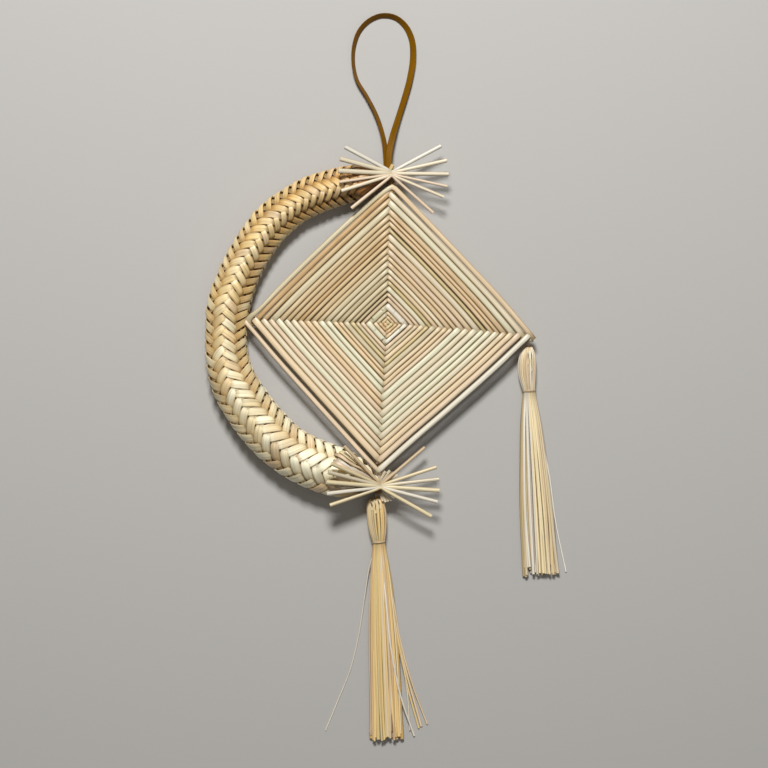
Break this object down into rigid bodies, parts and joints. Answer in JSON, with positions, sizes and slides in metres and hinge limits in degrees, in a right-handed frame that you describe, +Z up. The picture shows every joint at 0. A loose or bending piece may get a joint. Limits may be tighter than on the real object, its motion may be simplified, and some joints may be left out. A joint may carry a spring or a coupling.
{
  "type": "straw ornament",
  "caption": "Hanging straw ornament with a plaited crescent, a square wound from straws, fans of stalks at its corners, straw tassels and a ribbon loop.",
  "frame": {"origin": "on the surface the ornament lies on, under the middle of the straw work without its ribbon", "axes": "+Y towards the ribbon loop that it hangs by, +X to the side of the corner tassel, +Z up out of its face"},
  "size_m": [0.153, 0.308, 0.0215],
  "materials": {
    "plaited_straw": "split straw laid bright side out, golden, with a silky sheen",
    "cross_stalk": "whole straw, golden",
    "wound_straw": "whole straw in cream, grey-green, tan and rosy shades, silky",
    "fan_straw": "whole thin straw, nearly white to pale tan",
    "tassel_straw": "split straw, pale gold to white",
    "tie_thread": "glossy golden thread",
    "satin_ribbon": "mustard-gold satin"
  },
  "bodies": {
    "root": {"crescent_plait": "plaited_straw", "upright_stalk": "cross_stalk", "level_stalk": "cross_stalk", "straw_round_01": "wound_straw", "straw_round_02": "wound_straw", "straw_round_03": "wound_straw", "straw_round_04": "wound_straw", "straw_round_05": "wound_straw", "straw_round_06": "wound_straw", "straw_round_07": "wound_straw", "straw_round_08": "wound_straw", "straw_round_09": "wound_straw", "straw_round_10": "wound_straw", "straw_round_11": "wound_straw", "straw_round_12": "wound_straw", "straw_round_13": "wound_straw", "straw_round_14": "wound_straw", "straw_round_15": "wound_straw", "straw_round_16": "wound_straw", "straw_round_17": "wound_straw", "straw_round_18": "wound_straw", "straw_round_19": "wound_straw", "straw_round_20": "wound_straw", "straw_round_21": "wound_straw", "straw_round_22": "wound_straw", "upper_fan_stalk_1": "fan_straw", "upper_fan_stalk_2": "fan_straw", "upper_fan_stalk_3": "fan_straw", "upper_fan_stalk_4": "fan_straw", "upper_fan_stalk_5": "fan_straw", "upper_fan_stalk_6": "fan_straw", "lower_fan_stalk_1": "fan_straw", "lower_fan_stalk_2": "fan_straw", "lower_fan_stalk_3": "fan_straw", "lower_fan_stalk_4": "fan_straw", "lower_fan_stalk_5": "fan_straw", "lower_fan_stalk_6": "fan_straw", "lower_tassel_head": "tassel_straw", "lower_tassel_tie": "tie_thread", "lower_tassel_skirt": "tassel_straw", "corner_tassel_head": "tassel_straw", "corner_tassel_tie": "tie_thread", "corner_tassel_skirt": "tassel_straw", "ribbon_loop": "satin_ribbon"}
  },
  "joints": []
}
